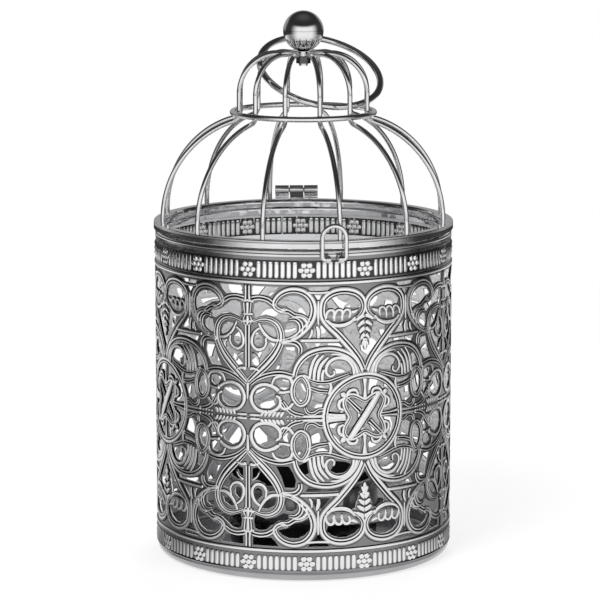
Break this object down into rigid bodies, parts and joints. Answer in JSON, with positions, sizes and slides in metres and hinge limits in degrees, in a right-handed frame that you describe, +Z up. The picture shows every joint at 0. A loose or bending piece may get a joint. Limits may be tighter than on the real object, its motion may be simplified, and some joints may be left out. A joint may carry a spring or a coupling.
{
  "type": "birdcage tealight lantern",
  "caption": "Round chrome birdcage lantern: pierced scroll drum, hinged wire dome with a ball finial and a loose ring, a swinging clasp bail and a cup for a tealight.",
  "frame": {"origin": "middle of the base's underside", "axes": "+Z up along the drum's axis, -Y towards the clasp side, +Y towards the hinge"},
  "size_m": [0.081, 0.0857, 0.1469],
  "materials": {
    "chrome_sheet": "polished, pierced and embossed sheet",
    "chrome_pressed": "polished",
    "chrome_wire": "polished round wire",
    "cup_steel": "polished outside, dark inside",
    "steel": "plain"
  },
  "bodies": {
    "body": {"wall": "chrome_sheet", "body_rim": "chrome_pressed", "base_plate": "chrome_pressed", "candle_cup": "cup_steel", "hinge_body_leaf": "chrome_pressed", "hinge_pin": "steel", "clasp_barrel": "chrome_pressed"},
    "lid": {"lid_rim": "chrome_pressed", "hinge_lid_leaf": "chrome_pressed", "neck_ring": "chrome_wire", "rib_01": "chrome_wire", "rib_02": "chrome_wire", "rib_03": "chrome_wire", "rib_04": "chrome_wire", "rib_05": "chrome_wire", "rib_06": "chrome_wire", "rib_07": "chrome_wire", "rib_08": "chrome_wire", "rib_09": "chrome_wire", "rib_10": "chrome_wire", "rib_11": "chrome_wire", "rib_12": "chrome_wire", "crown_hub": "chrome_pressed", "ball_finial": "chrome_pressed", "finial_nut": "steel"},
    "ring": {"ring_handle": "chrome_wire"},
    "clasp": {"clasp_loop": "chrome_wire"}
  },
  "joints": [
    {"name": "lid_hinge", "type": "hinge", "parent": "body", "child": "lid", "pos_m": [0, 0.0419, 0.0928], "axis": [-1, 0, 0], "range_deg": [0, 120]},
    {"name": "ring_swing", "type": "hinge", "parent": "lid", "child": "ring", "pos_m": [-0.01145, 0.00775, 0.1331], "axis": [0.9127, -0.2524, -0.3214], "range_deg": [0, 80]},
    {"name": "clasp_swing", "type": "hinge", "parent": "body", "child": "clasp", "pos_m": [0.00607, -0.0411, 0.0859], "axis": [0.9893, 0.1461, 0], "range_deg": [0, 100]}
  ]
}
